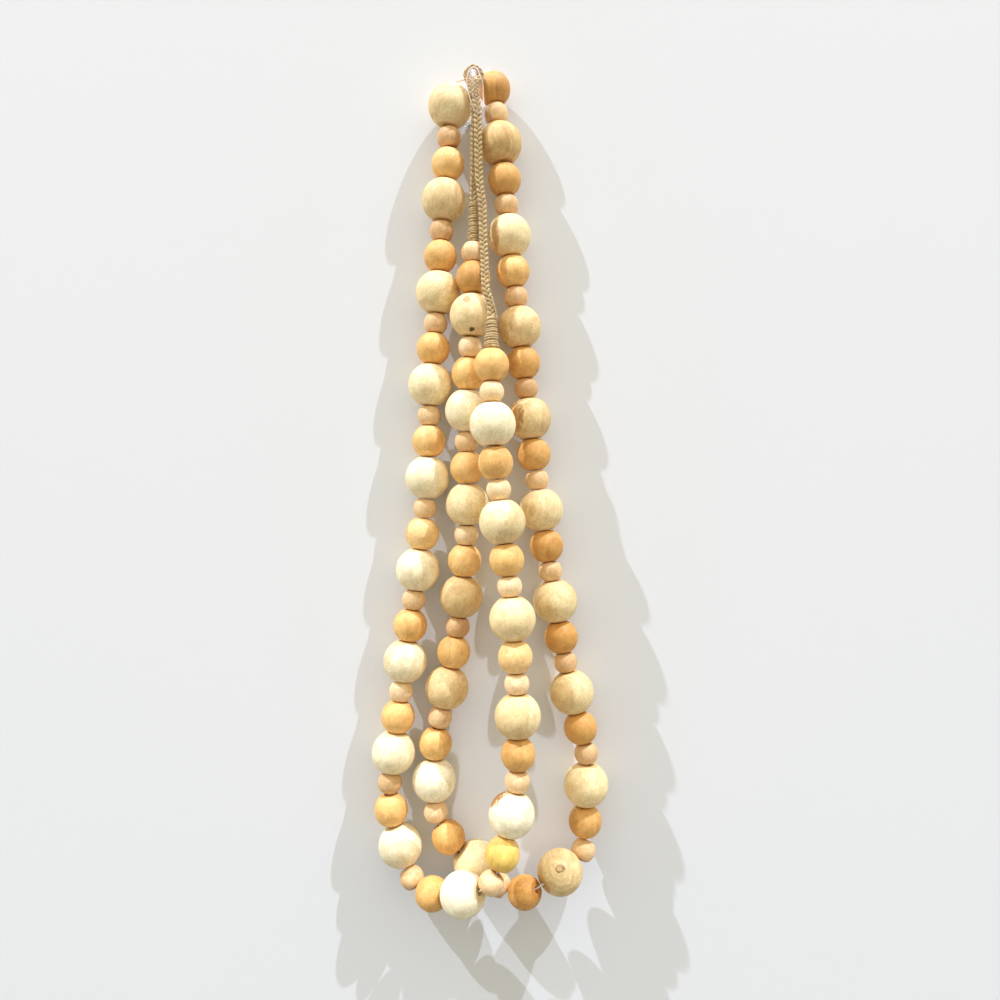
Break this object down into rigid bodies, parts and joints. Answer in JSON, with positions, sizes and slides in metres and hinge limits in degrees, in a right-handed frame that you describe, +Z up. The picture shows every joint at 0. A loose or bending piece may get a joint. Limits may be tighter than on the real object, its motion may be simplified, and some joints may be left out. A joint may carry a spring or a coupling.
{
  "type": "wooden bead garland on wall hook",
  "caption": "String of round wooden beads of mixed sizes with braided jute loops at its ends, hung folded over a clear wall hook.",
  "frame": {"origin": "middle of the hook plate's back face, where it meets the wall", "axes": "+Z up along the hanging strands, +Y into the wall, the beads hang on the -Y side"},
  "size_m": [0.1344, 0.0519, 0.4788],
  "materials": {
    "bead_wood": "turned and sanded, satin, unstained",
    "jute": "spun and braided natural fibre, matte",
    "clear_plastic": "clear moulded plastic, gloss"
  },
  "bodies": {
    "root": {"beads_01": "bead_wood", "beads_02": "bead_wood", "beads_03": "bead_wood", "beads_04": "bead_wood", "beads_05": "bead_wood", "beads_06": "bead_wood", "beads_07": "bead_wood", "beads_08": "bead_wood", "beads_09": "bead_wood", "beads_10": "bead_wood", "beads_11": "bead_wood", "beads_12": "bead_wood", "beads_13": "bead_wood", "beads_14": "bead_wood", "beads_15": "bead_wood", "beads_16": "bead_wood", "beads_17": "bead_wood", "beads_18": "bead_wood", "beads_19": "bead_wood", "beads_20": "bead_wood", "beads_21": "bead_wood", "beads_22": "bead_wood", "beads_23": "bead_wood", "beads_24": "bead_wood", "beads_25": "bead_wood", "beads_26": "bead_wood", "beads_27": "bead_wood", "beads_28": "bead_wood", "beads_29": "bead_wood", "beads_30": "bead_wood", "beads_31": "bead_wood", "beads_32": "bead_wood", "cord_over_hook": "jute", "collar_a": "jute", "collar_b": "jute", "loop_a": "jute", "loop_b": "jute", "hook": "clear_plastic"}
  },
  "joints": []
}
